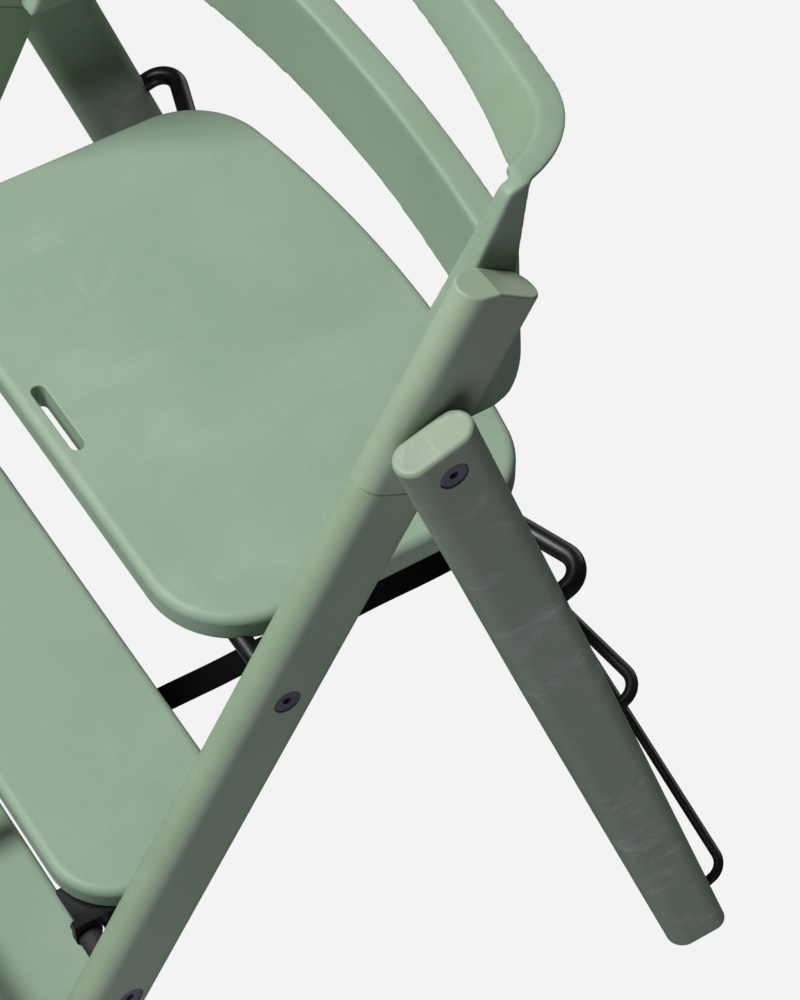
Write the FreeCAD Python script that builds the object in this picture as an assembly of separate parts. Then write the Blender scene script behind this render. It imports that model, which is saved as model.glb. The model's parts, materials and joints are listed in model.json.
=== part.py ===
import FreeCAD, Part
import math
import os

from FreeCAD import Vector

# Folding child's chair. All sizes in millimetres, angles in degrees.
# The model is drawn around the top pivot, the axis that joins the front and rear legs:
# X to the sitter's left, Y to the back, Z up. It is then set down on the floor.

# Stance
PIVOT_HEIGHT = 660.0
FRONT_LEAN = 29.1
REAR_LEAN = 18.4

# Legs
LEG_DEPTH = 51.5
LEG_THICK = 23.0
REAR_DEPTH = 49.0
REAR_FOOT_DEPTH = 43.0
REAR_TAPER_START = 255.0
REAR_TOP = 21.5
END_ROUND = 3.0
LEG_GAP = 1.5
GLIDE_THICK = 4.0
GLIDE_INSET = 4.0

# Posts above the front legs, with a ridge across the top
POST_JOINT = 34.0
POST_RIDGE = 101.0
POST_RIDGE_FORWARD = 8.0
POST_FRONT_FALL = 15.0
POST_BACK_FALL = 6.0
POST_EDGE = 1.6
POST_PROUD = 0.8
TENON_LENGTH = 22.0
TENON_WALL = 6.0
GROOVE_EDGE = 0.8

# Seat panel, heights measured from the top pivot
SEAT_WIDTH = 380.0
SIDE_CLEAR = 19.0
SEAT_TOP = -142.7
SEAT_THICK = 20.0
SEAT_FRONT = -123.4
SEAT_BACK_CORNER = 101.3
SEAT_BACK_BULGE = 23.5
SEAT_FRONT_RADIUS = 57.5
SEAT_BACK_RADIUS = 55.5
PANEL_TOP_ROUND = 6.0
PANEL_BOTTOM_ROUND = 3.5
SLOT_LENGTH = 56.0
SLOT_WIDTH = 9.0
SLOT_Y = -109.0
SLOT_ROUND = 1.2

# Footrest and lower step, two plates of one pattern
PLATE_WIDTH = 374.0
PLATE_DEPTH = 119.5
PLATE_THICK = 18.0
PLATE_FRONT_RADIUS = 45.0
PLATE_BACK_RADIUS = 42.0
FOOTREST_TOP = -351.0
FOOTREST_BACK = -91.7
STEP_TOP = -514.6
STEP_BACK = -178.9

# Cross tubes between the front legs, and the seat's hinge blocks and rest pads
TUBE_DIAMETER = 12.0
TUBE_BORE = 8.0
TUBE_BOLT_REACH = 40.0
SEAT_AXLE_AXIAL = 188.0
HINGE_X = 110.0
HINGE_WIDTH = 22.0
HINGE_HALF = 18.0
HINGE_UNDER = 10.0
HINGE_SCREW = 13.0
PAD_X = 165.0
PAD_HALF = 10.0
PAD_LIFT = 3.0

# Webbing strap that limits the spread, from a tube between the front legs to a rod between the rear legs
STRAP_LEVEL = -468.0
STRAP_WIDTH = 20.0
STRAP_THICK = 2.0
STRAP_ROD = 10.0
STRAP_ROD_BACK = 14.0
ROD_SEAT = 8.0

# Plate brackets
BRACKET_THICK = 5.0
BRACKET_INSET = 28.0
BRACKET_FLANGE = 30.0
FLANGE_THICK = 4.0
BRACKET_DROP = 15.0
BRACKET_FRONT = 6.0
BRACKET_BACK = 68.0
BRACKET_EYE = 9.0
PLATE_AXLE_BACK = 6.0
STOP_PIN_DIAMETER = 8.0
STOP_PIN_BACK = 14.0
STOP_PIN_SEAT = 8.0
STOP_GAP = 0.3

# Fasteners
HEAD_DIAMETER = 17.0
HEAD_THICK = 3.5
HEAD_SUNK = 0.8
HEAD_CLEAR = 0.5
SHANK_DIAMETER = 8.0
SOCKET_FLATS = 5.0
SOCKET_DEPTH = 2.4
RUN_FIT = 0.05
NUT_FLATS = 13.0
NUT_THICK = 6.5
SPACER_DIAMETER = 15.0
FACE_GAP = 0.3
WASHER_DIAMETER = 20.0
BARREL_DIAMETER = 14.0
BARREL_WALL = 4.0
SCREW_SHANK = 5.0
SCREW_HEAD = 9.0
SCREW_HEAD_THICK = 2.5
SCREW_BITE = 11.0
PLATE_SCREW_X = 14.0
PLATE_SCREW_YS = (14.0, 52.0)

# Steel stretchers behind the rear legs: rod diameter, place along the leg, stand-off behind the
# leg axis, inward slope of the run towards the middle, and half the length of the straight middle
STRETCHER_SET = 12.0
STRETCHER_BEND = 14.0
STRETCHER_BENT_X = 2.0
UPPER_ROD = 12.0
UPPER_DROP = 190.0
UPPER_STANDOFF = 46.5
UPPER_SLOPE = 18.0
UPPER_FLAT_HALF = 110.0
MIDDLE_ROD = 8.0
MIDDLE_DROP = 348.0
MIDDLE_STANDOFF = 42.0
MIDDLE_SLOPE = 6.0
MIDDLE_FLAT_HALF = 88.0
LOWER_ROD = 7.0
LOWER_RISE = 49.5
LOWER_STANDOFF = 37.5
LOWER_SLOPE = -6.0
LOWER_FLAT_HALF = 20.0

# Backrest shell
SHELL_WALL = 18.5
SHELL_LOW_WALL = 16.5
SHELL_LOW_RADIUS = 40.0
SHELL_LOW_CORNER_Y = 52.0
SHELL_RADIUS = 58.0
SHELL_CORNER_Y = 38.0
SHELL_APEX = 106.0
SHELL_BOTTOM = -28.0
SHELL_BOTTOM_RISE = 10.0
SHELL_RISE_START = 70.0
SHELL_RISE_END = 92.0
SHELL_FRONT_RUN = 0.46
WINDOW_BOTTOM = 54.0
STRUT_BACK = 66.0
STRUT_BACK_RUN = 0.105
STRUT_TOP_WALL = 10.5
SHOULDER_Y = 61.0
SHOULDER_Z = 133.0
RIM_START_Y = 71.0

# Hoop over the window, a lip that is wide at the rim and thin at its lower edge
HOOP_BOTTOM = 104.0
HOOP_RIM = 136.5
RIM_WALL = 16.0
RIM_RADIUS = 64.0
RIM_CORNER_Y = 62.0
RIM_APEX = 136.0
HOOP_START_Y = 69.0
HOOP_START_Z = 130.0
HOOP_FOOT_Y = 88.0
HOOP_FOOT_WALL = 7.0
HOOP_FOOT_INSET = 17.0
HOOP_FOOT_RADIUS = 42.0
HOOP_FOOT_CORNER_Y = 55.0
HOOP_FOOT_APEX = 119.0

# Places that follow from the sizes above
LEG_INNER = SEAT_WIDTH / 2 + SIDE_CLEAR
LEG_OUTER = LEG_INNER + LEG_THICK
LEG_MID = LEG_INNER + LEG_THICK / 2
REAR_INNER = LEG_OUTER + LEG_GAP
REAR_OUTER = REAR_INNER + LEG_THICK
REAR_MID = REAR_INNER + LEG_THICK / 2
BRACKET_OUTER = LEG_INNER - BRACKET_INSET
BRACKET_INNER = BRACKET_OUTER - BRACKET_THICK
BOLT_END = BRACKET_INNER - FACE_GAP - NUT_THICK
SEAT_BOTTOM = SEAT_TOP - SEAT_THICK
LOWER_DROP = PIVOT_HEIGHT / math.cos(math.radians(REAR_LEAN)) - LOWER_RISE
SIDES = ((1, "left"), (-1, "right"))
AXIS_X = Vector(1, 0, 0)
AXIS_Z = Vector(0, 0, 1)
ORIGIN = Vector(0, 0, 0)
FAR = 2000.0


def lean(shape, angle):
    """Turn a shape drawn along an upright leg to that leg's lean about the top pivot."""
    turned = shape.copy()
    turned.rotate(ORIGIN, AXIS_X, angle)
    return turned


def front(shape):
    return lean(shape, -FRONT_LEAN)


def rear(shape):
    return lean(shape, REAR_LEAN)


def on_front_leg(axial):
    """The point on the front leg's axis at this distance below the pivot, as Y and Z."""
    angle = math.radians(FRONT_LEAN)
    return -axial * math.sin(angle), -axial * math.cos(angle)


def front_leg_at(z, back):
    """The point at this height on a line behind the front leg's axis, as Y and Z."""
    angle = math.radians(FRONT_LEAN)
    return z * math.tan(angle) + back / math.cos(angle), z


def prism(points, start, travel):
    """A straight-sided solid from a polygon of 3-D points."""
    wire = Part.makePolygon(points + [points[0]])
    face = Part.Face(wire)
    face.translate(start)
    return face.extrude(travel)


def block(x0, x1, y0, y1, z0, z1):
    return Part.makeBox(x1 - x0, y1 - y0, z1 - z0, Vector(x0, y0, z0))


def rod(diameter, x0, x1, y, z):
    """A round bar along X."""
    return Part.makeCylinder(diameter / 2, x1 - x0, Vector(x0, y, z), AXIS_X)


def mirrored(side, shape):
    if side > 0:
        return shape
    return shape.mirror(ORIGIN, AXIS_X)


def edges_at(solid, height):
    """Edges that lie in one level plane."""
    level = []
    for edge in solid.Edges:
        box = edge.BoundBox
        if abs(box.ZMin - height) < 1e-4 and abs(box.ZMax - height) < 1e-4:
            level.append(edge)
    return level


def upright_edges(solid, y_test):
    """Upright straight edges whose Y passes the test."""
    found = []
    for edge in solid.Edges:
        box = edge.BoundBox
        if box.XLength < 1e-4 and box.YLength < 1e-4 and y_test(box.YMin):
            found.append(edge)
    return found


def stadium(depth, thick, x, z):
    """A rounded-end leg section, long along Y."""
    r = thick / 2
    s = depth / 2 - r
    a = Vector(x + r, -s, z)
    b = Vector(x + r, s, z)
    c = Vector(x - r, s, z)
    d = Vector(x - r, -s, z)
    return Part.Wire([
        Part.makeLine(a, b),
        Part.Arc(b, Vector(x, s + r, z), c).toShape(),
        Part.makeLine(c, d),
        Part.Arc(d, Vector(x, -s - r, z), a).toShape(),
    ])


def bar_of(wire, height):
    return Part.Face(wire).extrude(Vector(0, 0, height))


def d_wire(half_width, radius, corner_y, apex, front_y, z):
    """A plan outline open to the front: straight sides, round corners and a bowed back."""
    cx = half_width - radius
    drop = corner_y - apex
    bow = (radius ** 2 - cx ** 2 - drop ** 2) / (2 * (drop + radius))
    cy = apex - bow
    reach = bow / (bow - radius)
    tx = cx * reach
    ty = cy + (corner_y - cy) * reach
    half = math.atan2(ty - corner_y, tx - cx) / 2
    mx = cx + radius * math.cos(half)
    my = corner_y + radius * math.sin(half)
    p = [
        Vector(half_width, front_y, z),
        Vector(half_width, corner_y, z),
        Vector(tx, ty, z),
        Vector(-tx, ty, z),
        Vector(-half_width, corner_y, z),
        Vector(-half_width, front_y, z),
    ]
    return Part.Wire([
        Part.makeLine(p[0], p[1]),
        Part.Arc(p[1], Vector(mx, my, z), p[2]).toShape(),
        Part.Arc(p[2], Vector(0, apex, z), p[3]).toShape(),
        Part.Arc(p[3], Vector(-mx, my, z), p[4]).toShape(),
        Part.makeLine(p[4], p[5]),
        Part.makeLine(p[5], p[0]),
    ])


def hexagon(flats, x0, x1, y, z):
    """A six-sided bar along X."""
    r = flats / math.sqrt(3)
    points = []
    for i in range(6):
        t = math.radians(60 * i)
        points.append(Vector(0, r * math.cos(t), r * math.sin(t)))
    return prism(points, Vector(x0, y, z), Vector(x1 - x0, 0, 0))


# Pivot bolts: a flat socket head let into the outer face, and a plain shank towards the middle
def bolt(outer_face, inner_end, y, z):
    head_out = outer_face - HEAD_SUNK
    head = rod(HEAD_DIAMETER, head_out - HEAD_THICK, head_out, y, z)
    rim = [e for e in head.Edges if abs(e.BoundBox.XMin - head_out) < 1e-4]
    head = head.makeFillet(SOCKET_DEPTH / 4, [e for e in rim if e.BoundBox.XLength < 1e-4])
    shank = rod(SHANK_DIAMETER, inner_end, head_out - HEAD_THICK, y, z)
    socket = hexagon(SOCKET_FLATS, head_out - SOCKET_DEPTH, head_out + 1, y, z)
    return head.fuse(shank).cut(socket).removeSplitter()


def head_recess(outer_face, y, z, clearance):
    floor = outer_face - HEAD_SUNK - HEAD_THICK - clearance
    return rod(HEAD_DIAMETER + 2 * clearance, floor, outer_face + 1, y, z)


def floor_cut(level):
    """Everything below a level over the floor."""
    return block(-FAR, FAR, -FAR, FAR, -FAR, level - PIVOT_HEIGHT)


def glide(leg_depth, lean_angle, x, toward_front):
    """A plastic pad under a foot, as long as the leg's cut end less an inset."""
    angle = math.radians(lean_angle)
    length = leg_depth / math.cos(angle) - 2 * GLIDE_INSET
    run = (PIVOT_HEIGHT - GLIDE_THICK) * math.tan(angle)
    wire = stadium(length, LEG_THICK - GLIDE_INSET, x, -PIVOT_HEIGHT)
    wire.translate(Vector(0, -run if toward_front else run, 0))
    return bar_of(wire, GLIDE_THICK)


# Front leg: stadium bar from the floor to the post joint, with a tenon up into the post
SEAT_AXLE = on_front_leg(SEAT_AXLE_AXIAL)
FOOTREST_AXLE = front_leg_at(FOOTREST_TOP - PLATE_THICK - BRACKET_DROP, PLATE_AXLE_BACK)
STEP_AXLE = front_leg_at(STEP_TOP - PLATE_THICK - BRACKET_DROP, PLATE_AXLE_BACK)
STRAP_TUBE = front_leg_at(STRAP_LEVEL - (STRAP_THICK + TUBE_DIAMETER) / 2, 0.0)
PLATE_AXLES = (FOOTREST_AXLE, STEP_AXLE)
TUBE_PLACES = (SEAT_AXLE, STRAP_TUBE)


def tenon(clearance):
    wire = stadium(LEG_DEPTH - 2 * TENON_WALL + 2 * clearance,
                   LEG_THICK - 2 * TENON_WALL + 2 * clearance, LEG_MID, -POST_JOINT)
    return bar_of(wire, TENON_LENGTH + clearance)


def front_leg():
    length = PIVOT_HEIGHT / math.cos(math.radians(FRONT_LEAN)) + LEG_DEPTH
    shaft = bar_of(stadium(LEG_DEPTH, LEG_THICK, LEG_MID, -length), length - POST_JOINT)
    shaft = shaft.makeChamfer(GROOVE_EDGE, edges_at(shaft, -POST_JOINT))
    leg = front(shaft.fuse(tenon(0.0)))
    leg = leg.cut(floor_cut(GLIDE_THICK))
    for y, z in TUBE_PLACES + PLATE_AXLES:
        leg = leg.cut(head_recess(LEG_OUTER, y, z, 0.0))
        leg = leg.cut(rod(SHANK_DIAMETER, LEG_INNER - 1, LEG_OUTER, y, z))
    for y, z in PLATE_AXLES:
        leg = leg.cut(stop_pin(y, z))
    return leg.removeSplitter()


def stop_pin(y, z):
    """A pin let into the leg's inner face, just under a plate bracket's arm."""
    return rod(STOP_PIN_DIAMETER, BRACKET_INNER, LEG_INNER + STOP_PIN_SEAT, y + STOP_PIN_BACK, z)


def back_post():
    """The moulded upper length of the front leg, slightly proud, with a ridged top."""
    depth = LEG_DEPTH + 2 * POST_PROUD
    post = bar_of(stadium(depth, LEG_THICK, LEG_MID, -POST_JOINT), POST_RIDGE + POST_JOINT)
    post = post.makeFillet(GROOVE_EDGE, edges_at(post, -POST_JOINT))
    front_drop = (depth - POST_RIDGE_FORWARD) * math.tan(math.radians(POST_FRONT_FALL))
    back_drop = (depth + POST_RIDGE_FORWARD) * math.tan(math.radians(POST_BACK_FALL))
    above = prism([
        Vector(0, -depth, POST_RIDGE - front_drop),
        Vector(0, -POST_RIDGE_FORWARD, POST_RIDGE),
        Vector(0, depth, POST_RIDGE - back_drop),
        Vector(0, depth, POST_RIDGE + depth),
        Vector(0, -depth, POST_RIDGE + depth),
    ], Vector(-FAR, 0, 0), Vector(2 * FAR, 0, 0))
    post = post.cut(above)
    rim = [e for e in post.Edges if e.BoundBox.ZMin > POST_RIDGE / 2]
    post = post.makeFillet(POST_EDGE, rim)
    post = post.cut(tenon(FACE_GAP / 3))
    post = front(post)
    post = post.cut(rod(SHANK_DIAMETER, LEG_INNER + BARREL_WALL, FAR, 0, 0))
    return post.cut(barrel_room())


def barrel_room():
    """The blind socket for the pivot bolt's threaded barrel."""
    return rod(BARREL_DIAMETER, LEG_INNER + BARREL_WALL, LEG_MID + BARREL_WALL, 0, 0)


def barrel_nut():
    nut = barrel_room()
    return nut.cut(rod(SHANK_DIAMETER, LEG_INNER, FAR, 0, 0))


def rear_leg():
    """Stadium bar with a rounded flat top, narrowing towards the foot."""
    length = PIVOT_HEIGHT / math.cos(math.radians(REAR_LEAN)) + LEG_DEPTH
    upper = bar_of(stadium(REAR_DEPTH, LEG_THICK, REAR_MID, -REAR_TAPER_START),
                   REAR_TAPER_START + REAR_TOP)
    upper = upper.makeFillet(END_ROUND, edges_at(upper, REAR_TOP))
    lower = Part.makeLoft([
        stadium(REAR_FOOT_DEPTH, LEG_THICK, REAR_MID, -length),
        stadium(REAR_DEPTH, LEG_THICK, REAR_MID, -REAR_TAPER_START),
    ], True, True)
    leg = rear(upper.fuse(lower))
    leg = leg.cut(floor_cut(GLIDE_THICK))
    leg = leg.cut(head_recess(REAR_OUTER, 0, 0, HEAD_CLEAR))
    leg = leg.cut(rod(SHANK_DIAMETER + 2 * RUN_FIT, REAR_INNER - 1, REAR_OUTER, 0, 0))
    leg = leg.cut(strap_rod())
    for spec in STRETCHERS:
        leg = leg.cut(stretcher(*spec))
    return leg


# Stretchers: round steel bar, bent at each end into the back of the rear legs
def stretcher_path(drop, standoff, slope, flat_half):
    """Centre line from inside one leg to inside the other, as bend points."""
    slant = math.tan(math.radians(slope))
    end_y = REAR_DEPTH / 2 - STRETCHER_SET
    corner_x = REAR_MID - STRETCHER_BENT_X
    flat_y = standoff - (corner_x - flat_half) * slant
    half = [
        Vector(REAR_MID, end_y, -drop),
        Vector(corner_x, standoff, -drop),
        Vector(flat_half, flat_y, -drop),
    ]
    return half + [Vector(-p.x, p.y, p.z) for p in reversed(half)]


def bent_wire(points, radius):
    """Straight runs joined by tangent arcs of one bend radius."""
    pieces = []
    start = points[0]
    for before, corner, after in zip(points, points[1:], points[2:]):
        a = (before - corner).normalize()
        b = (after - corner).normalize()
        half = math.acos(a.dot(b)) / 2
        setback = radius / math.tan(half)
        middle = (a + b).normalize() * (radius / math.sin(half) - radius)
        first = corner + a * setback
        last = corner + b * setback
        pieces.append(Part.makeLine(start, first))
        pieces.append(Part.Arc(first, corner + middle, last).toShape())
        start = last
    pieces.append(Part.makeLine(start, points[-1]))
    return Part.Wire(pieces)


def stretcher(diameter, drop, standoff, slope, flat_half):
    path = bent_wire(stretcher_path(drop, standoff, slope, flat_half), STRETCHER_BEND)
    first = path.Edges[0]
    ring = Part.Wire([Part.makeCircle(diameter / 2, first.valueAt(first.FirstParameter),
                                      first.tangentAt(first.FirstParameter))])
    return rear(path.makePipeShell([ring], True, False))


UPPER_RUN = (UPPER_DROP, UPPER_STANDOFF, UPPER_SLOPE, UPPER_FLAT_HALF)
STRETCHERS = (
    (UPPER_ROD,) + UPPER_RUN,
    (MIDDLE_ROD, MIDDLE_DROP, MIDDLE_STANDOFF, MIDDLE_SLOPE, MIDDLE_FLAT_HALF),
    (LOWER_ROD, LOWER_DROP, LOWER_STANDOFF, LOWER_SLOPE, LOWER_FLAT_HALF),
)
STRETCHER_NAMES = ("upper_stretcher", "middle_stretcher", "lower_stretcher")


# Panels
def seat_panel():
    half = SEAT_WIDTH / 2
    a = Vector(-half, SEAT_FRONT, SEAT_BOTTOM)
    b = Vector(half, SEAT_FRONT, SEAT_BOTTOM)
    c = Vector(half, SEAT_BACK_CORNER, SEAT_BOTTOM)
    d = Vector(-half, SEAT_BACK_CORNER, SEAT_BOTTOM)
    crown = Vector(0, SEAT_BACK_CORNER + SEAT_BACK_BULGE, SEAT_BOTTOM)
    outline = Part.Wire([Part.makeLine(a, b), Part.makeLine(b, c), Part.Arc(c, crown, d).toShape(),
                         Part.makeLine(d, a)])
    panel = bar_of(outline, SEAT_THICK)
    panel = panel.makeFillet(SEAT_FRONT_RADIUS, upright_edges(panel, lambda y: y < 0))
    panel = panel.makeFillet(SEAT_BACK_RADIUS, upright_edges(panel, lambda y: y > SEAT_BACK_CORNER - 1))
    panel = panel.makeFillet(PANEL_TOP_ROUND, edges_at(panel, SEAT_TOP))
    panel = panel.makeFillet(PANEL_BOTTOM_ROUND, edges_at(panel, SEAT_BOTTOM))
    slot = stadium(SLOT_LENGTH, SLOT_WIDTH, 0, SEAT_BOTTOM - 1)
    slot.rotate(ORIGIN, AXIS_Z, 90)
    slot.translate(Vector(0, SLOT_Y, 0))
    panel = panel.cut(bar_of(slot, SEAT_THICK + 2))
    rim = []
    for level in (SEAT_TOP, SEAT_BOTTOM):
        for edge in edges_at(panel, level):
            if abs(edge.CenterOfMass.y - SLOT_Y) < SLOT_WIDTH and abs(edge.CenterOfMass.x) < SLOT_LENGTH:
                rim.append(edge)
    panel = panel.makeFillet(SLOT_ROUND, rim)
    y, z = SEAT_AXLE
    panel = panel.cut(rod(TUBE_DIAMETER + 2 * FACE_GAP, -FAR, FAR, y, z))
    for screw in seat_screws():
        panel = panel.cut(screw)
    return panel


def plate_panel(top, back, axle):
    """Footrest or step: a straight plate with round corners."""
    half = PLATE_WIDTH / 2
    panel = block(-half, half, back - PLATE_DEPTH, back, top - PLATE_THICK, top)
    panel = panel.makeFillet(PLATE_FRONT_RADIUS, upright_edges(panel, lambda y: y < back - 1))
    panel = panel.makeFillet(PLATE_BACK_RADIUS, upright_edges(panel, lambda y: y > back - 1))
    panel = panel.makeFillet(PANEL_TOP_ROUND, edges_at(panel, top))
    panel = panel.makeFillet(PANEL_BOTTOM_ROUND, edges_at(panel, top - PLATE_THICK))
    for screw in plate_screws(top, axle):
        panel = panel.cut(screw)
    return panel


# Cross tubes between the front legs, held by a bolt at each end
def cross_tube(place):
    y, z = place
    tube = rod(TUBE_DIAMETER, -LEG_INNER, LEG_INNER, y, z)
    return tube.cut(rod(TUBE_BORE, -LEG_INNER - 1, LEG_INNER + 1, y, z))


# Seat hinges: blocks screwed under the seat that turn on the upper cross tube
def seat_hinge(side):
    y, z = SEAT_AXLE
    body = block(HINGE_X - HINGE_WIDTH / 2, HINGE_X + HINGE_WIDTH / 2, y - HINGE_HALF, y + HINGE_HALF,
                 z - HINGE_UNDER, SEAT_BOTTOM)
    body = body.cut(rod(TUBE_DIAMETER + 2 * RUN_FIT, 0, LEG_INNER, y, z))
    for screw in seat_screws():
        body = body.cut(screw)
    return mirrored(side, body)


# Rest pads: saddles under the seat that sit on the upper stretcher
def seat_pad():
    angle = math.radians(REAR_LEAN)
    across = REAR_MID - STRETCHER_BENT_X - PAD_X
    behind = UPPER_STANDOFF - across * math.tan(math.radians(UPPER_SLOPE))
    y = behind * math.cos(angle) + UPPER_DROP * math.sin(angle)
    z = behind * math.sin(angle) - UPPER_DROP * math.cos(angle)
    pad = block(PAD_X - PAD_HALF, PAD_X + PAD_HALF, y - PAD_HALF, y + PAD_HALF, z + PAD_LIFT, SEAT_BOTTOM)
    return pad.cut(stretcher(UPPER_ROD + 2 * FACE_GAP, *UPPER_RUN))


# Strap: a flat band with a loop round the lower cross tube and one round the rear rod
def rear_rod_place():
    z = STRAP_LEVEL - (STRAP_THICK + STRAP_ROD) / 2 - FACE_GAP
    angle = math.radians(REAR_LEAN)
    return STRAP_ROD_BACK / math.cos(angle) - z * math.tan(angle), z


def strap_rod():
    y, z = rear_rod_place()
    return rod(STRAP_ROD, -REAR_INNER - ROD_SEAT, REAR_INNER + ROD_SEAT, y, z)


def strap():
    half = STRAP_WIDTH / 2
    rear_y, rear_z = rear_rod_place()
    low = STRAP_LEVEL - STRAP_THICK / 2
    band = block(-half, half, STRAP_TUBE[0], rear_y, low, low + STRAP_THICK)
    loops = ((STRAP_TUBE, TUBE_DIAMETER), ((rear_y, rear_z), STRAP_ROD + 2 * FACE_GAP))
    for (y, z), inside in loops:
        band = band.fuse(rod(inside + 2 * STRAP_THICK, -half, half, y, z))
    for (y, z), inside in loops:
        band = band.cut(rod(inside, -half - 1, half + 1, y, z))
    return band.removeSplitter()


def panel_screw(x, y, seat_z, grip):
    """A screw driven upward: its head under seat_z, its shank through the grip into the panel."""
    shank = Part.makeCylinder(SCREW_SHANK / 2, grip + SCREW_BITE, Vector(x, y, seat_z))
    head = Part.makeCylinder(SCREW_HEAD / 2, SCREW_HEAD_THICK, Vector(x, y, seat_z - SCREW_HEAD_THICK))
    return head.fuse(shank).removeSplitter()


def seat_screws():
    y, z = SEAT_AXLE
    bottom = z - HINGE_UNDER
    screws = []
    for dy in (-HINGE_SCREW, HINGE_SCREW):
        for x in (-HINGE_X, HINGE_X):
            screws.append(panel_screw(x, y + dy, bottom, SEAT_BOTTOM - bottom))
    return screws


# Plate brackets: an upright ear with the pivot eye, a rear arm over the stop pin, and a flange
def plate_bracket(side, top, axle):
    y, z = axle
    under = top - PLATE_THICK
    arm_bottom = z + STOP_PIN_DIAMETER / 2 + STOP_GAP
    eye = rod(2 * BRACKET_EYE, BRACKET_INNER, BRACKET_OUTER, y, z)
    neck = block(BRACKET_INNER, BRACKET_OUTER, y - BRACKET_EYE, y + BRACKET_EYE, z, under)
    arm = block(BRACKET_INNER, BRACKET_OUTER, y - BRACKET_FRONT, y + BRACKET_BACK, arm_bottom, under)
    flange = block(BRACKET_OUTER - BRACKET_FLANGE, BRACKET_OUTER, y - BRACKET_FRONT, y + BRACKET_BACK,
                   under - FLANGE_THICK, under)
    bracket = eye.fuse([neck, arm, flange])
    bracket = bracket.cut(rod(SHANK_DIAMETER + 2 * RUN_FIT, BRACKET_INNER - 1, BRACKET_OUTER + 1, y, z))
    room = rod(STOP_PIN_DIAMETER + 2 * STOP_GAP, BRACKET_INNER - 1, BRACKET_OUTER + 1, y + STOP_PIN_BACK, z)
    bracket = bracket.cut(room).removeSplitter()
    for screw in plate_screws(top, axle):
        bracket = bracket.cut(mirrored(side, screw))
    return mirrored(side, bracket)


def plate_screws(top, axle):
    y, z = axle
    seat_z = top - PLATE_THICK - FLANGE_THICK
    x = BRACKET_OUTER - BRACKET_FLANGE + PLATE_SCREW_X
    screws = []
    for dy in PLATE_SCREW_YS:
        for sx in (-x, x):
            screws.append(panel_screw(sx, y + dy, seat_z, FLANGE_THICK))
    return screws


# Backrest: a bowed lower band between the posts and a hoop above it, with an open window between
def shell_ring(low, low_wall, low_z, high, high_wall, high_z):
    """A wall lofted between two plan outlines, each with its own thickness."""
    front_y = -FAR / 4
    outer = Part.makeLoft([d_wire(*low, front_y, low_z), d_wire(*high, front_y, high_z)], True, True)
    inner = Part.makeLoft([d_wire(*thinner(low, low_wall), front_y - 1, low_z - 1e-3),
                           d_wire(*thinner(high, high_wall), front_y - 1, high_z + 1e-3)], True, True)
    return outer.cut(inner)


def thinner(plan, wall):
    half_width, radius, corner_y, apex = plan
    return half_width - wall, radius - wall, corner_y, apex - wall


def side_prism(points):
    """A solid across the whole width from a side view given as Y and Z."""
    return prism([Vector(0, y, z) for y, z in points], Vector(-FAR, 0, 0), Vector(2 * FAR, 0, 0))


def lower_band():
    """The band below the window, squarer at its lower corners than at its upper edge."""
    low = (LEG_INNER, SHELL_LOW_RADIUS, SHELL_LOW_CORNER_Y, SHELL_APEX)
    high = (LEG_INNER, SHELL_RADIUS, SHELL_CORNER_Y, SHELL_APEX)
    return shell_ring(low, SHELL_LOW_WALL, SHELL_BOTTOM, high, SHELL_WALL, WINDOW_BOTTOM)


def strut():
    """A flat upright beside the post, thinner towards the rim, with a straight back edge."""
    front_view = [
        (LEG_INNER, SHELL_BOTTOM),
        (LEG_INNER, HOOP_RIM),
        (LEG_INNER - STRUT_TOP_WALL, HOOP_RIM),
        (LEG_INNER - SHELL_WALL, WINDOW_BOTTOM),
        (LEG_INNER - SHELL_LOW_WALL, SHELL_BOTTOM),
    ]
    upright = prism([Vector(x, 0, z) for x, z in front_view], Vector(0, -FAR, 0), Vector(0, 2 * FAR, 0))
    reach = STRUT_BACK_RUN * FAR
    back_edge = side_prism([
        (STRUT_BACK - reach, WINDOW_BOTTOM - FAR),
        (STRUT_BACK + reach, WINDOW_BOTTOM + FAR),
        (-FAR, WINDOW_BOTTOM + FAR),
        (-FAR, WINDOW_BOTTOM - FAR),
    ])
    return upright.common(back_edge)


def hoop():
    """The lip over the window, cut back in front so that it meets the struts at the rim."""
    foot = (LEG_INNER - HOOP_FOOT_INSET, HOOP_FOOT_RADIUS, HOOP_FOOT_CORNER_Y, HOOP_FOOT_APEX)
    rim = (LEG_INNER, RIM_RADIUS, RIM_CORNER_Y, RIM_APEX)
    lip = shell_ring(foot, HOOP_FOOT_WALL, HOOP_BOTTOM, rim, RIM_WALL, HOOP_RIM)
    return lip.cut(side_prism([
        (-FAR, -FAR),
        (HOOP_FOOT_Y, -FAR),
        (HOOP_FOOT_Y, HOOP_BOTTOM),
        (HOOP_START_Y, HOOP_START_Z),
        (HOOP_START_Y, FAR),
        (-FAR, FAR),
    ]))


def backrest():
    """Band, struts and hoop, cut to one side view: a sloping front edge, a shoulder and a level rim."""
    front_low = SHOULDER_Y - SHELL_FRONT_RUN * (SHOULDER_Z - SHELL_BOTTOM)
    side_view = side_prism([
        (front_low, SHELL_BOTTOM),
        (SHELL_RISE_START, SHELL_BOTTOM),
        (SHELL_RISE_END, SHELL_BOTTOM + SHELL_BOTTOM_RISE),
        (FAR, SHELL_BOTTOM + SHELL_BOTTOM_RISE),
        (FAR, HOOP_RIM),
        (RIM_START_Y, HOOP_RIM),
        (SHOULDER_Y, SHOULDER_Z),
    ])
    whole = lower_band().fuse([hoop()] + both(strut()))
    return whole.common(side_view).removeSplitter()


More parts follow.
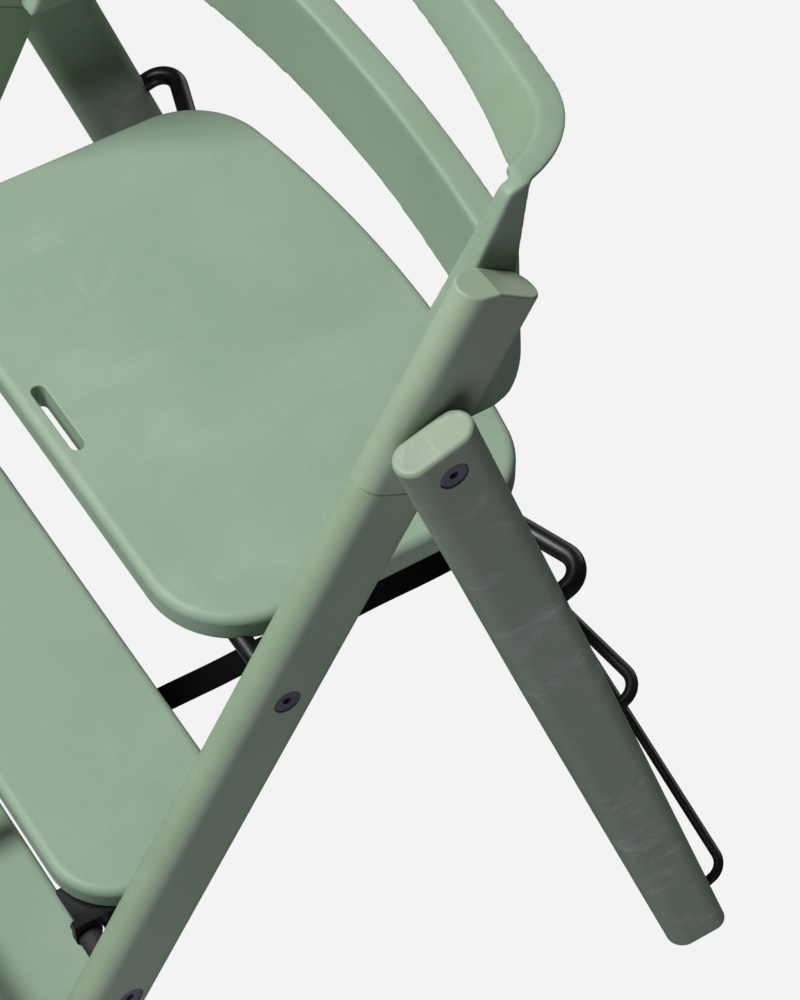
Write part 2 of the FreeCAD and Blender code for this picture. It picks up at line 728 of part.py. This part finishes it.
def spacer(axle):
    """A plain bush between the front leg and a bracket."""
    y, z = axle
    bush = rod(SPACER_DIAMETER, BRACKET_OUTER + FACE_GAP, LEG_INNER, y, z)
    return bush.cut(rod(SHANK_DIAMETER, BRACKET_OUTER, LEG_INNER + 1, y, z))


def axle_nut(axle):
    y, z = axle
    nut = hexagon(NUT_FLATS, BOLT_END, BRACKET_INNER - FACE_GAP, y, z)
    return nut.cut(rod(SHANK_DIAMETER, BOLT_END - 1, BRACKET_INNER, y, z))


def pivot_washer():
    washer = rod(WASHER_DIAMETER, LEG_OUTER, REAR_INNER - FACE_GAP, 0, 0)
    return washer.cut(rod(SHANK_DIAMETER, LEG_OUTER - 1, REAR_INNER, 0, 0))


def both(shape):
    """A left piece and its mirror image, as one group."""
    return [shape, mirrored(-1, shape)]


def build_nodes():
    nodes = {}
    for side, name in SIDES:
        nodes["front_leg_" + name] = [mirrored(side, front_leg())]
        nodes["back_post_" + name] = [mirrored(side, back_post())]
        nodes["rear_leg_" + name] = [mirrored(side, rear_leg())]
        nodes["seat_hinge_" + name] = [seat_hinge(side)]
        nodes["footrest_bracket_" + name] = [plate_bracket(side, FOOTREST_TOP, FOOTREST_AXLE)]
        nodes["step_bracket_" + name] = [plate_bracket(side, STEP_TOP, STEP_AXLE)]
    nodes["backrest_shell"] = [backrest()]
    nodes["seat_panel"] = [seat_panel()]
    nodes["footrest_panel"] = [plate_panel(FOOTREST_TOP, FOOTREST_BACK, FOOTREST_AXLE)]
    nodes["step_panel"] = [plate_panel(STEP_TOP, STEP_BACK, STEP_AXLE)]
    nodes["seat_axle_tube"] = [cross_tube(SEAT_AXLE)]
    nodes["strap_tube"] = [cross_tube(STRAP_TUBE)]
    nodes["strap_rod"] = [strap_rod()]
    nodes["spread_strap"] = [strap()]
    nodes["seat_pads"] = both(seat_pad())
    nodes["seat_screws"] = seat_screws()
    nodes["footrest_screws"] = plate_screws(FOOTREST_TOP, FOOTREST_AXLE)
    nodes["step_screws"] = plate_screws(STEP_TOP, STEP_AXLE)
    for name, spec in zip(STRETCHER_NAMES, STRETCHERS):
        nodes[name] = [stretcher(*spec)]
    nodes["top_pivot_bolts"] = both(bolt(REAR_OUTER, LEG_INNER + BARREL_WALL, 0, 0))
    nodes["top_pivot_barrels"] = both(barrel_nut())
    nodes["top_pivot_washers"] = both(pivot_washer())
    for name, place in zip(("seat_axle", "strap_tube"), TUBE_PLACES):
        nodes[name + "_bolts"] = both(bolt(LEG_OUTER, LEG_INNER - TUBE_BOLT_REACH, *place))
    for name, axle in zip(("footrest", "step"), PLATE_AXLES):
        nodes[name + "_axle_bolts"] = both(bolt(LEG_OUTER, BOLT_END, *axle))
        nodes[name + "_axle_nuts"] = both(axle_nut(axle))
        nodes[name + "_axle_spacers"] = both(spacer(axle))
        nodes[name + "_stop_pins"] = both(stop_pin(*axle))
    nodes["front_glides"] = both(glide(LEG_DEPTH, FRONT_LEAN, LEG_MID, True))
    nodes["rear_glides"] = both(glide(REAR_FOOT_DEPTH, REAR_LEAN, REAR_MID, False))
    return nodes


def main():
    nodes = build_nodes()
    outline = Part.makeCompound([solid for solids in nodes.values() for solid in solids])
    extent = outline.optimalBoundingBox(False, False)
    middle = (extent.YMin + extent.YMax) / 2
    set_down = Vector(0, -middle, PIVOT_HEIGHT)
    os.makedirs("parts", exist_ok=True)
    for name, solids in nodes.items():
        shape = solids[0] if len(solids) == 1 else Part.makeCompound(solids)
        placed = shape.copy()
        placed.translate(set_down)
        placed.exportStep("parts/" + name + ".step")
        box = placed.optimalBoundingBox(False, False)
        print("%-24s solids %d valid %s volume %.0f  X %.1f %.1f  Y %.1f %.1f  Z %.1f %.1f" % (
            name, len(placed.Solids), placed.isValid(), placed.Volume,
            box.XMin, box.XMax, box.YMin, box.YMax, box.ZMin, box.ZMax))
    print("pivot Y %.4f Z %.4f" % (-middle, PIVOT_HEIGHT))
    for name, axle in zip(("seat", "footrest", "step"), (SEAT_AXLE,) + PLATE_AXLES):
        print("%s axle Y %.4f Z %.4f" % (name, axle[0] - middle, axle[1] + PIVOT_HEIGHT))


main()
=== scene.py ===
import json
import math

import bpy
from mathutils import Matrix, Vector


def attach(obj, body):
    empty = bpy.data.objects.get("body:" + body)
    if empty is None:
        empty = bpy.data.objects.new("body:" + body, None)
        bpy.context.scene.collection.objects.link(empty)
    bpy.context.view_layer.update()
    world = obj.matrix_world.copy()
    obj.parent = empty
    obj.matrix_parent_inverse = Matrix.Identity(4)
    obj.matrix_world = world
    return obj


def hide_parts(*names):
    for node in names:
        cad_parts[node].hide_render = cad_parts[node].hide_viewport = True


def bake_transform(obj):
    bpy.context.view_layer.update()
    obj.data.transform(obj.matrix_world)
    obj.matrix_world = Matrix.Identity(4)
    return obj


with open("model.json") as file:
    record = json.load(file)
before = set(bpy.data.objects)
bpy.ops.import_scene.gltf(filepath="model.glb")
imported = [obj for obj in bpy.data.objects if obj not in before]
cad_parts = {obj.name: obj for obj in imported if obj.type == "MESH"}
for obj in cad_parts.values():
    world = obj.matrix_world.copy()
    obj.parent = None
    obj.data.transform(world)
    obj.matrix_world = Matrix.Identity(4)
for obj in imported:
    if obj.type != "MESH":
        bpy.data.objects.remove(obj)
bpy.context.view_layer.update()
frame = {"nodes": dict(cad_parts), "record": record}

# The photograph's camera, placed from the chair's top pivot.
# Places are in metres, angles in degrees, the image in pixels and the sensor in millimetres.
IMAGE_HEIGHT = 1000
FOCAL_PIXELS = 3200
SENSOR = 36.0
CAMERA_AZIMUTH = 58.0
CAMERA_ELEVATION = 51.5
CAMERA_FROM_PIVOT = Vector((1.1249, -0.5761, 1.290))
CAMERA_NEAR = 0.05
CAMERA_FAR = 50

# Sage plastic: colours, the stretch of its streaks and how far it mirrors light
SAGE = (0.285, 0.392, 0.288, 1)
SAGE_DEEP = (0.262, 0.368, 0.264, 1)
SAGE_PALE = (0.335, 0.440, 0.345, 1)
SCUFF = (0.50, 0.55, 0.50, 1)
SPECK = (0.15, 0.19, 0.15, 1)
STREAK_STRETCH = (1, 4, 1)
SAGE_SHEEN = 0.4

# Black coating: its deep and pale patches as shares of its tone, and how far its roughness strays
COATING_DEEP = (0.7, 0.72, 0.9)
COATING_PALE = (1.3, 1.32, 1.6)
COATING_SMOOTHER = 0.05
COATING_ROUGHER = 0.07

# Zinc, rubber and webbing: colours, the stretch of their patterns and the webbing's dull sheen
ZINC_DEEP = (0.32, 0.32, 0.33, 1)
ZINC_PALE = (0.58, 0.58, 0.59, 1)
ZINC_STRETCH = (1, 14, 14)
RUBBER_DEEP = (0.012, 0.012, 0.012, 1)
RUBBER_PALE = (0.03, 0.03, 0.03, 1)
# The webbing's near-black is partly its own black and partly painted shade: darker than black cloth, for
# the shadow it lies in under the seat.
WEBBING_DEEP = (0.002, 0.002, 0.003, 1)
WEBBING_PALE = (0.005, 0.005, 0.007, 1)
WEBBING_STRETCH = (60, 12, 1)
WEBBING_SHEEN = 0.08

# Rounded backrest: size of its skin's cells in metres, smoothing, and the share of faces kept
SHELL_VOXEL = 0.0010
SHELL_SMOOTHING = 56
SHELL_SMOOTH_FACTOR = 0.5
SHELL_KEEP = 0.15

# Webbing band, in metres and degrees: it leaves the top of its tube and of its rod.
# Its faces lie a little inside its thickness, and its edges sway by the wave.
STRAP_WIDTH = 0.020
STRAP_THICK = 0.002
STRAP_FACE = 0.48
STRAP_STEPS = 48
STRAP_WAVE = 0.0003
STRAP_WAVE_STEP = 0.7
SECTION_CORNERS = 4
LOOP_STEPS = 20
LOOP_TOP = 90
LOOP_TURN = 310

# Stage and light: the dish as radius and height of its rings, the lights in metres and watts
FLOOR_TONE = 0.896
DISH = ((4.0, 0.0), (7.0, 0.6), (9.0, 2.5), (10.0, 6.0), (10.0, 14.0))
DISH_SIDES = 64
WORLD_STRENGTH = 0.055
LIGHTS = {
    "key": {"place": (-0.6, -1.8, 3.4), "aim": (0, 0, 0.5), "size": 1.4, "power": 145},
    "fill": {"place": (1.4, -0.4, 0.0), "aim": (0.2, 0.1, 0.3), "size": 1.0, "power": 5.8,
             "colour": (1.0, 0.92, 1.12)},
    "back": {"place": (-1.2, 2.6, 1.2), "aim": (0, 0, 0.4), "size": 2.0, "power": 18},
}


def add_object(name, data):
    """A new object in the scene that shows the given data."""
    obj = bpy.data.objects.new(name, data)
    bpy.context.scene.collection.objects.link(obj)
    return obj


# Camera
def joint_place(name):
    """Where a joint of the chair is, in the row frame."""
    for joint in frame["record"]["behaviour"]["joints"]:
        if joint["name"] == name:
            return Vector(joint["pos_m"])
    raise ValueError("no joint named " + name)


def camera_axes(azimuth, elevation):
    """Right, up and back directions of a level camera."""
    a = math.radians(azimuth)
    e = math.radians(elevation)
    back = Vector((math.sin(a) * math.cos(e), -math.cos(a) * math.cos(e), math.sin(e)))
    right = Vector((math.cos(a), math.sin(a), 0.0))
    return right, back.cross(right), back


def add_camera():
    """The camera that took the photograph."""
    data = bpy.data.cameras.new("camera")
    data.sensor_width = SENSOR
    data.lens = FOCAL_PIXELS / IMAGE_HEIGHT * SENSOR
    data.clip_start = CAMERA_NEAR
    data.clip_end = CAMERA_FAR
    camera = add_object("camera", data)
    right, up, back = camera_axes(CAMERA_AZIMUTH, CAMERA_ELEVATION)
    turn = Matrix((right, up, back)).transposed().to_4x4()
    camera.matrix_world = Matrix.Translation(joint_place("rear_fold") + CAMERA_FROM_PIVOT) @ turn
    bpy.context.scene.camera = camera


# Materials
class Nodes:
    """Short calls for building a node material."""

    # The mix node's colour sockets share their names with other sockets, so they are picked by number
    MIX_FIRST = 6
    MIX_SECOND = 7
    MIX_RESULT = 2

    def __init__(self, name):
        self.material = bpy.data.materials.new(name)
        self.material.use_nodes = True
        self.tree = self.material.node_tree
        self.shader = self.tree.nodes["Principled BSDF"]

    def add(self, kind, **settings):
        node = self.tree.nodes.new(kind)
        for key, value in settings.items():
            setattr(node, key, value)
        return node

    def link(self, source, target):
        self.tree.links.new(source, target)

    def put(self, target, value):
        """Feed an input from another node's output, or set it to a number or a colour."""
        if isinstance(value, bpy.types.NodeSocket):
            self.link(value, target)
        else:
            target.default_value = value

    def surface(self, name, value):
        """Feed or set one input of the surface itself."""
        self.put(self.shader.inputs[name], value)

    def place(self, scale=(1, 1, 1), turn=(0, 0, 0)):
        """The piece's own coordinates, stretched and turned."""
        coords = self.add("ShaderNodeTexCoord")
        mapping = self.add("ShaderNodeMapping")
        mapping.inputs["Scale"].default_value = scale
        mapping.inputs["Rotation"].default_value = [math.radians(t) for t in turn]
        self.link(coords.outputs["Object"], mapping.inputs["Vector"])
        return mapping.outputs["Vector"]

    def noise(self, vector, scale, detail=3.0, roughness=0.55, distortion=0.0):
        node = self.add("ShaderNodeTexNoise")
        self.link(vector, node.inputs["Vector"])
        node.inputs["Scale"].default_value = scale
        node.inputs["Detail"].default_value = detail
        node.inputs["Roughness"].default_value = roughness
        node.inputs["Distortion"].default_value = distortion
        return node.outputs["Fac"]

    def span(self, value, low, high, to_low=0.0, to_high=1.0):
        """Map a value from one range to another, smoothly, held at the ends."""
        node = self.add("ShaderNodeMapRange", interpolation_type="SMOOTHSTEP")
        self.link(value, node.inputs["Value"])
        node.inputs["From Min"].default_value = low
        node.inputs["From Max"].default_value = high
        node.inputs["To Min"].default_value = to_low
        node.inputs["To Max"].default_value = to_high
        return node.outputs["Result"]

    def math(self, operation, a, b):
        node = self.add("ShaderNodeMath", operation=operation)
        self.put(node.inputs[0], a)
        self.put(node.inputs[1], b)
        return node.outputs["Value"]

    def mix(self, factor, a, b):
        node = self.add("ShaderNodeMix", data_type="RGBA")
        self.put(node.inputs["Factor"], factor)
        self.put(node.inputs[self.MIX_FIRST], a)
        self.put(node.inputs[self.MIX_SECOND], b)
        return node.outputs[self.MIX_RESULT]

    def bump(self, height, strength, distance):
        node = self.add("ShaderNodeBump")
        node.inputs["Strength"].default_value = strength
        node.inputs["Distance"].default_value = distance
        self.link(height, node.inputs["Height"])
        self.surface("Normal", node.outputs["Normal"])


def specks(n, cells, size, share):
    """A mask of small scattered grains: cells per metre, grain size in cells, share of cells used."""
    grain = n.add("ShaderNodeTexVoronoi")
    n.link(n.place(), grain.inputs["Vector"])
    grain.inputs["Scale"].default_value = cells
    dot = n.span(grain.outputs["Distance"], size / 2, size, to_low=1.0, to_high=0.0)
    pick = n.add("ShaderNodeSeparateColor")
    n.link(grain.outputs["Color"], pick.inputs["Color"])
    chosen = n.math("LESS_THAN", pick.outputs["Red"], share)
    return n.math("MULTIPLY", dot, chosen)


def tinted(colour, tint):
    """A colour with each of its three channels scaled, and full alpha."""
    return tuple(c * t for c, t in zip(colour, tint)) + (1,)


def sage_plastic(name, streak_turn, scuff_scale, scuffed, tint=(1, 1, 1)):
    """Recycled moulded plastic: soft cloudy marbling, pale rubbed patches and a few specks."""
    n = Nodes(name)
    # The tint scales the sage colours for each kind of piece. It is painted light and shade, standing in
    # for how light falls on that piece.
    sage = tinted(SAGE, tint)
    deep = tinted(SAGE_DEEP, tint)
    pale = tinted(SAGE_PALE, tint)
    cloud = n.noise(n.place(turn=streak_turn), scale=7, detail=5, roughness=0.6, distortion=0.8)
    streak_place = n.place(STREAK_STRETCH, streak_turn)
    streak = n.noise(streak_place, scale=12, detail=6, roughness=0.65, distortion=1.2)
    fine = n.noise(n.place(), scale=420, detail=3, roughness=0.7)
    colour = n.mix(n.span(cloud, low=0.36, high=0.66), deep, sage)
    colour = n.mix(n.span(streak, low=0.54, high=0.82, to_high=0.5), colour, pale)
    colour = n.mix(n.span(fine, low=0.45, high=0.75, to_high=0.22), colour, pale)
    rub_place = n.place(scuff_scale, streak_turn)
    rub = n.noise(rub_place, scale=10, detail=8, roughness=0.75, distortion=1.0)
    colour = n.mix(n.span(rub, low=0.51, high=0.73, to_high=scuffed), colour, SCUFF)
    colour = n.mix(specks(n, cells=260, size=0.10, share=0.025), colour, SPECK)
    n.surface("Base Color", colour)
    n.surface("Roughness", n.span(cloud, low=0.3, high=0.7, to_low=0.46, to_high=0.56))
    n.surface("Specular IOR Level", SAGE_SHEEN)
    grain = n.noise(n.place(), scale=900, detail=2, roughness=0.5)
    n.bump(grain, strength=0.08, distance=0.0005)
    return n.material


def black_steel(name, tone, roughness, sheen):
    """Satin black coating with a fine orange-peel texture."""
    n = Nodes(name)
    peel = n.noise(n.place(), scale=1400, detail=2, roughness=0.5)
    patch = n.noise(n.place(), scale=30, detail=4, roughness=0.6)
    grey = (tone, tone, tone)
    patches = n.span(patch, low=0.35, high=0.7)
    n.surface("Base Color", n.mix(patches, tinted(grey, COATING_DEEP), tinted(grey, COATING_PALE)))
    smooth = roughness - COATING_SMOOTHER
    rough = roughness + COATING_ROUGHER
    n.surface("Roughness", n.span(patch, low=0.3, high=0.7, to_low=smooth, to_high=rough))
    n.surface("Specular IOR Level", sheen)
    n.bump(peel, strength=0.03, distance=0.0003)
    return n.material


def zinc_steel():
    """Bright plated steel, finely brushed."""
    n = Nodes("zinc_steel")
    brushed = n.noise(n.place(ZINC_STRETCH), scale=160)
    n.surface("Base Color", n.mix(brushed, ZINC_DEEP, ZINC_PALE))
    n.surface("Roughness", n.span(brushed, low=0.3, high=0.7, to_low=0.28, to_high=0.45))
    n.surface("Metallic", 1.0)
    return n.material


def black_rubber(name):
    """Dull black rubber or nylon with a fine grain."""
    n = Nodes(name)
    grain = n.noise(n.place(), scale=500)
    n.surface("Base Color", n.mix(grain, RUBBER_DEEP, RUBBER_PALE))
    n.surface("Roughness", n.span(grain, low=0.3, high=0.7, to_low=0.65, to_high=0.85))
    n.bump(grain, strength=0.2, distance=0.0004)
    return n.material


def black_webbing():
    """Flat weave: fine ribs along the strap and a dull sheen."""
    n = Nodes("black_webbing")
    weave = n.noise(n.place(WEBBING_STRETCH), scale=40, detail=2)
    n.surface("Base Color", n.mix(weave, WEBBING_DEEP, WEBBING_PALE))
    n.surface("Roughness", n.span(weave, low=0.3, high=0.7, to_low=0.75, to_high=0.9))
    n.surface("Specular IOR Level", WEBBING_SHEEN)
    n.bump(weave, strength=0.3, distance=0.0005)
    return n.material


def finishes():
    """One finish for each slot, and for the sage pieces one for each kind of piece, with painted light and
    shade in their tints.
    """
    return {
        # The sage tints are painted light and shade: the posts brighter, the shell darker and the rear
        # legs greyer, for how light falls on each. The front legs are a little less blue.
        "panel": sage_plastic("sage_panel", streak_turn=(0, 0, 35), scuff_scale=(2, 1, 3), scuffed=0.16),
        "front": sage_plastic("sage_front", streak_turn=(40, 0, 10), scuff_scale=(3, 1, 5), scuffed=0.10,
                              tint=(1.0, 1.0, 0.91)),
        "rear": sage_plastic("sage_rear_painted_shade", streak_turn=(-18, 0, 0), scuff_scale=(2, 1.4, 2.6), scuffed=0.85,
                             tint=(1.07, 1.0, 1.0)),
        "post": sage_plastic("sage_post_painted_light", streak_turn=(40, 0, 10), scuff_scale=(3, 1, 5), scuffed=0.10,
                             tint=(1.12, 1.07, 1.02)),
        "shell": sage_plastic("sage_shell_painted_shade", streak_turn=(0, 60, 20), scuff_scale=(3, 1, 3), scuffed=0.08,
                              tint=(0.96, 0.96, 0.95)),
        "black_steel": black_steel("black_steel", tone=0.006, roughness=0.36, sheen=0.5),
        "black_bolt": black_steel("black_bolt", tone=0.110, roughness=0.45, sheen=0.35),
        "glide_rubber": black_rubber("glide_rubber"),
        "black_nylon": black_rubber("black_nylon"),
        "black_webbing": black_webbing(),
        "zinc_steel": zinc_steel(),
    }


def finish_name(node, slot):
    """Which finish a piece takes: a sage piece by its kind, any other by its slot."""
    if node.endswith("_panel"):
        return "panel"
    if node.startswith("rear_leg"):
        return "rear"
    if node.startswith("back_post"):
        return "post"
    if node.startswith("front_leg"):
        return "front"
    if node == "backrest_shell":
        return "shell"
    return slot


def dress_nodes(looks):
    """Give every carried-over solid its finish."""
    slots = {row["node"]: row["material_slot"] for row in frame["record"]["subparts"]}
    for node, obj in frame["nodes"].items():
        finish = looks[finish_name(node, slots[node])]
        for slot in obj.material_slots:
            slot.material = finish


# Pieces finished beyond their solids
def add_rounded_shell(finish):
    """The backrest with its edges worn round like a moulding, from its own solid."""
    solid = frame["nodes"]["backrest_shell"]
    draft = add_object("backrest_draft", solid.data.copy())
    draft.matrix_world = solid.matrix_world
    skin = draft.modifiers.new("skin", "REMESH")
    skin.mode = "VOXEL"
    skin.voxel_size = SHELL_VOXEL
    soften = draft.modifiers.new("soften", "SMOOTH")
    soften.factor = SHELL_SMOOTH_FACTOR
    soften.iterations = SHELL_SMOOTHING
    lighten = draft.modifiers.new("lighten", "DECIMATE")
    lighten.ratio = SHELL_KEEP
    rounded = bpy.data.meshes.new_from_object(draft.evaluated_get(bpy.context.evaluated_depsgraph_get()))
    bpy.data.objects.remove(draft)
    rounded.materials.clear()
    rounded.materials.append(finish)
    for face in rounded.polygons:
        face.use_smooth = True
    shell = add_object("backrest_rounded", rounded)
    shell.matrix_world = solid.matrix_world
    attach(shell, "front_frame")
    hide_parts("backrest_shell")


def middle_and_top(node):
    """Middle of a carried-over solid, and the height of its top, in the row frame."""
    obj = frame["nodes"][node]
    corners = [obj.matrix_world @ Vector(c) for c in obj.bound_box]
    return sum(corners, Vector()) / len(corners), max(c.z for c in corners)


def loop_points(centre, radius, start, end):
    """Points on part of a circle about X, as place and outward direction."""
    points = []
    for i in range(LOOP_STEPS + 1):
        t = math.radians(start + (end - start) * i / LOOP_STEPS)
        out = Vector((0, math.cos(t), math.sin(t)))
        points.append((centre + out * radius, out))
    return points


def straight_points(start, end):
    """Points between two places, without the places themselves, as place and outward direction."""
    points = []
    for i in range(1, STRAP_STEPS):
        points.append((start.lerp(end, i / STRAP_STEPS), Vector((0, 0, 1))))
    return points


def strap_mesh(run):
    """A flat closed band along a run of points, with an oblong section at each."""
    vertices = []
    for i, (place, out) in enumerate(run):
        wave = STRAP_WAVE * math.sin(i * STRAP_WAVE_STEP)
        for side in (-1, 1):
            edge = Vector((side * (STRAP_WIDTH / 2 - STRAP_WAVE) + wave, 0, 0))
            for face in (-1, 1):
                vertices.append(place + edge + out * face * STRAP_THICK * STRAP_FACE)
    faces = []
    last = SECTION_CORNERS * (len(run) - 1)
    for a in range(0, last, SECTION_CORNERS):
        b = a + SECTION_CORNERS
        for k, m in ((0, 1), (1, 3), (3, 2), (2, 0)):
            faces.append((a + k, b + k, b + m, a + m))
    faces.append((0, 1, 3, 2))
    faces.append((last, last + 2, last + 3, last + 1))
    mesh = bpy.data.meshes.new("strap")
    mesh.from_pydata(vertices, [], faces)
    return mesh


def add_strap(finish):
    """A webbing band looped round the lower cross tube and the rear rod."""
    tube, tube_top = middle_and_top("strap_tube")
    rear, rear_top = middle_and_top("strap_rod")
    strap_top = middle_and_top("spread_strap")[1]
    tube_radius = tube_top - tube.z
    rear_radius = rear_top - rear.z
    level = strap_top - STRAP_THICK / 2
    start = Vector((0, tube.y, level))
    end = Vector((0, rear.y, level))
    run = loop_points(tube, tube_radius + STRAP_THICK / 2, LOOP_TOP + LOOP_TURN, LOOP_TOP)
    run += straight_points(start, end)
    run += loop_points(rear, rear_radius + STRAP_THICK / 2, LOOP_TOP, LOOP_TOP - LOOP_TURN)
    mesh = strap_mesh(run)
    mesh.materials.append(finish)
    strap = add_object("strap", mesh)
    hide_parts("spread_strap")
    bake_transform(strap)


# Stage and light
def dish_mesh():
    """A flat disc with a rim that rises in rings."""
    vertices = []
    for radius, height in DISH:
        for k in range(DISH_SIDES):
            t = 2 * math.pi * k / DISH_SIDES
            vertices.append((radius * math.cos(t), radius * math.sin(t), height))
    faces = [tuple(range(DISH_SIDES))]
    for ring in range(len(DISH) - 1):
        for k in range(DISH_SIDES):
            a = ring * DISH_SIDES + k
            b = ring * DISH_SIDES + (k + 1) % DISH_SIDES
            faces.append((a, b, b + DISH_SIDES, a + DISH_SIDES))
    mesh = bpy.data.meshes.new("floor")
    mesh.from_pydata(vertices, [], faces)
    return mesh


def add_floor():
    """A wide pale floor with a rim far from the chair. It glows evenly and lights nothing."""
    n = Nodes("floor")
    n.surface("Base Color", (0, 0, 0, 1))
    n.surface("Specular IOR Level", 0.0)
    n.surface("Emission Color", (1, 1, 1, 1))
    n.surface("Emission Strength", FLOOR_TONE)
    mesh = dish_mesh()
    mesh.materials.append(n.material)
    floor = add_object("floor", mesh)
    floor.visible_diffuse = False
    floor.visible_glossy = False
    floor.visible_shadow = False


def add_area_light(name, place, aim, size, power, colour=(1, 1, 1)):
    """A square lamp that the camera doesn't see."""
    data = bpy.data.lights.new(name, "AREA")
    data.energy = power
    data.color = colour
    data.size = size
    light = add_object(name, data)
    light.location = place
    light.rotation_mode = "QUATERNION"
    light.rotation_quaternion = (Vector(aim) - Vector(place)).to_track_quat("-Z", "Y")
    light.visible_camera = False


def add_world():
    """A weak, even light from all sides."""
    world = bpy.data.worlds.new("studio")
    bpy.context.scene.world = world
    world.use_nodes = True
    sky = world.node_tree.nodes["Background"]
    sky.inputs["Color"].default_value = (1, 1, 1, 1)
    sky.inputs["Strength"].default_value = WORLD_STRENGTH


def add_studio():
    """World, floor and lamps."""
    bpy.context.scene.view_settings.view_transform = "Standard"
    add_world()
    add_floor()
    for name, settings in LIGHTS.items():
        add_area_light(name, **settings)


add_camera()
looks = finishes()
dress_nodes(looks)
add_rounded_shell(looks["shell"])
add_strap(looks["black_webbing"])
add_studio()
